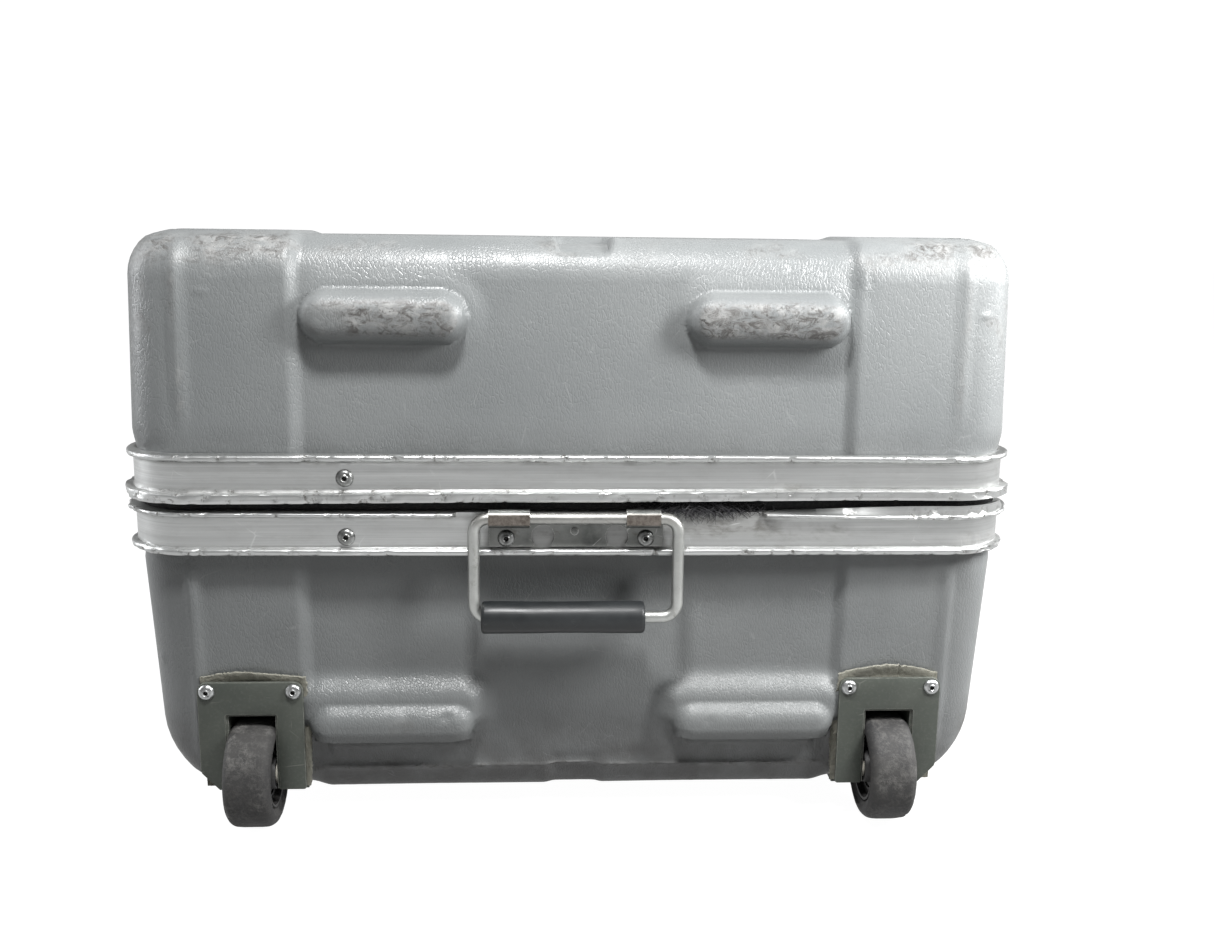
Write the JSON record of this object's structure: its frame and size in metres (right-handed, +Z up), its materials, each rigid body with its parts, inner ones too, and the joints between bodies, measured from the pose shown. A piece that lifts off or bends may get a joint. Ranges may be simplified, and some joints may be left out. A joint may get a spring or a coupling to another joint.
{
  "type": "rolling flight case",
  "caption": "Shallow rolling hard case: moulded shells in aluminium valance frames, hinged lid on stays, end bail handles, draw latches and corner wheels in steel housings.",
  "frame": {"origin": "centre of the flat field under the base, which is the face that lies on a shelf or floor pad", "axes": "+Z up with the case lying flat, +Y along the depth away from the wheeled end, +X to the right seen from the wheeled end; hinges on -X, latches on +X"},
  "size_m": [0.5472, 0.6455, 0.3629],
  "materials": {
    "shell_plastic": "pebble-grained moulded plastic, worn on its raised parts",
    "frame_aluminium": "brushed along its length, nicked beads",
    "seal_rubber": "matt black",
    "housing_paint": "dull olive-grey paint, rubbed edges",
    "pad_fibre": "tan-grey fibre, frayed",
    "zinc_steel": "dull zinc plate",
    "rivet_aluminium": "bright domed",
    "grip_plastic": "satin black",
    "tyre_rubber": "dusty, scuffed",
    "hub_plastic": "matt black",
    "bush_nylon": "natural white",
    "stay_steel": "dull plate"
  },
  "bodies": {
    "base": {"base_shell": "shell_plastic", "base_frame": "frame_aluminium", "seal_gasket": "seal_rubber", "front_handle_bracket": "zinc_steel", "front_handle_rivet_left": "rivet_aluminium", "front_handle_rivet_right": "rivet_aluminium", "front_stay_rivet_base": "rivet_aluminium", "front_hinge_base_leaf": "zinc_steel", "front_hinge_pin": "zinc_steel", "front_latch_plate": "zinc_steel", "rear_handle_bracket": "zinc_steel", "rear_handle_rivet_left": "rivet_aluminium", "rear_handle_rivet_right": "rivet_aluminium", "rear_stay_rivet_base": "rivet_aluminium", "rear_hinge_base_leaf": "zinc_steel", "rear_hinge_pin": "zinc_steel", "rear_latch_plate": "zinc_steel", "left_wheel_bracket": "housing_paint", "left_bracket_pad": "pad_fibre", "left_bracket_rivet_inner": "rivet_aluminium", "left_bracket_rivet_outer": "rivet_aluminium", "left_axle": "zinc_steel", "right_wheel_bracket": "housing_paint", "right_bracket_pad": "pad_fibre", "right_bracket_rivet_inner": "rivet_aluminium", "right_bracket_rivet_outer": "rivet_aluminium", "right_axle": "zinc_steel"},
    "lid": {"lid_shell": "shell_plastic", "lid_frame": "frame_aluminium", "front_stay_rivet_lid": "rivet_aluminium", "front_hinge_lid_leaf": "zinc_steel", "front_latch_keeper": "zinc_steel", "rear_stay_rivet_lid": "rivet_aluminium", "rear_hinge_lid_leaf": "zinc_steel", "rear_latch_keeper": "zinc_steel"},
    "front_handle": {"front_handle_bail": "zinc_steel"},
    "front_grip": {"front_handle_grip": "grip_plastic"},
    "front_stay_lower": {"front_stay_lower_link": "stay_steel", "front_stay_pin": "zinc_steel"},
    "front_stay_upper": {"front_stay_upper_link": "stay_steel"},
    "front_latch_lever": {"front_latch_lever": "zinc_steel"},
    "front_latch_hook": {"front_latch_hook": "zinc_steel"},
    "rear_handle": {"rear_handle_bail": "zinc_steel"},
    "rear_grip": {"rear_handle_grip": "grip_plastic"},
    "rear_stay_lower": {"rear_stay_lower_link": "stay_steel", "rear_stay_pin": "zinc_steel"},
    "rear_stay_upper": {"rear_stay_upper_link": "stay_steel"},
    "rear_latch_lever": {"rear_latch_lever": "zinc_steel"},
    "rear_latch_hook": {"rear_latch_hook": "zinc_steel"},
    "left_wheel": {"left_wheel_tyre": "tyre_rubber", "left_wheel_hub": "hub_plastic", "left_wheel_bush": "bush_nylon"},
    "right_wheel": {"right_wheel_tyre": "tyre_rubber", "right_wheel_hub": "hub_plastic", "right_wheel_bush": "bush_nylon"}
  },
  "joints": [
    {"name": "lid_hinge", "type": "hinge", "parent": "base", "child": "lid", "pos_m": [-0.2692, 0, 0.1773], "axis": [0, -1, 0], "range_deg": [0, 95]},
    {"name": "front_handle_swing", "type": "hinge", "parent": "base", "child": "front_handle", "pos_m": [0, -0.3127, 0.1725], "axis": [-1, 0, 0], "range_deg": [0, 100]},
    {"name": "front_grip_slide", "type": "slide", "parent": "front_handle", "child": "front_grip", "axis": [1, 0, 0], "range_m": [0, 0.0125]},
    {"name": "front_latch_lever_swing", "type": "hinge", "parent": "base", "child": "front_latch_lever", "pos_m": [0.2706, -0.17, 0.167], "axis": [0, -1, 0], "range_deg": [0, 100]},
    {"name": "front_latch_hook_swing", "type": "hinge", "parent": "front_latch_lever", "child": "front_latch_hook", "pos_m": [0.2689, -0.17, 0.157], "axis": [0, -1, 0], "range_deg": [-130, 0]},
    {"name": "front_stay_lower_swing", "type": "hinge", "parent": "base", "child": "front_stay_lower", "pos_m": [-0.134, -0.305, 0.1598], "axis": [0, -1, 0], "range_deg": [0, 95]},
    {"name": "front_stay_upper_swing", "type": "hinge", "parent": "lid", "child": "front_stay_upper", "pos_m": [-0.134, -0.305, 0.1948], "axis": [0, -1, 0], "range_deg": [-95, 0]},
    {"name": "rear_handle_swing", "type": "hinge", "parent": "base", "child": "rear_handle", "pos_m": [0, 0.3127, 0.1725], "axis": [1, 0, 0], "range_deg": [0, 100]},
    {"name": "rear_grip_slide", "type": "slide", "parent": "rear_handle", "child": "rear_grip", "axis": [1, 0, 0], "range_m": [-0.005, 0.005]},
    {"name": "rear_latch_lever_swing", "type": "hinge", "parent": "base", "child": "rear_latch_lever", "pos_m": [0.2706, 0.17, 0.167], "axis": [0, -1, 0], "range_deg": [0, 100]},
    {"name": "rear_latch_hook_swing", "type": "hinge", "parent": "rear_latch_lever", "child": "rear_latch_hook", "pos_m": [0.2689, 0.17, 0.157], "axis": [0, -1, 0], "range_deg": [-130, 0]},
    {"name": "rear_stay_lower_swing", "type": "hinge", "parent": "base", "child": "rear_stay_lower", "pos_m": [-0.134, 0.305, 0.1598], "axis": [0, -1, 0], "range_deg": [0, 95]},
    {"name": "rear_stay_upper_swing", "type": "hinge", "parent": "lid", "child": "rear_stay_upper", "pos_m": [-0.134, 0.305, 0.1948], "axis": [0, -1, 0], "range_deg": [-95, 0]},
    {"name": "left_wheel_spin", "type": "hinge", "parent": "base", "child": "left_wheel", "pos_m": [-0.195, -0.2905, 0.0074], "axis": [1, 0, 0], "continuous": true},
    {"name": "right_wheel_spin", "type": "hinge", "parent": "base", "child": "right_wheel", "pos_m": [0.195, -0.2905, 0.0074], "axis": [1, 0, 0], "continuous": true}
  ],
  "couplings": [
    {"joint": "front_latch_hook_swing", "follows": "front_latch_lever_swing", "ratio": -1.3},
    {"joint": "front_stay_lower_swing", "follows": "lid_hinge", "ratio": 1},
    {"joint": "front_stay_upper_swing", "follows": "lid_hinge", "ratio": -1},
    {"joint": "rear_latch_hook_swing", "follows": "rear_latch_lever_swing", "ratio": -1.3},
    {"joint": "rear_stay_lower_swing", "follows": "lid_hinge", "ratio": 1},
    {"joint": "rear_stay_upper_swing", "follows": "lid_hinge", "ratio": -1}
  ]
}
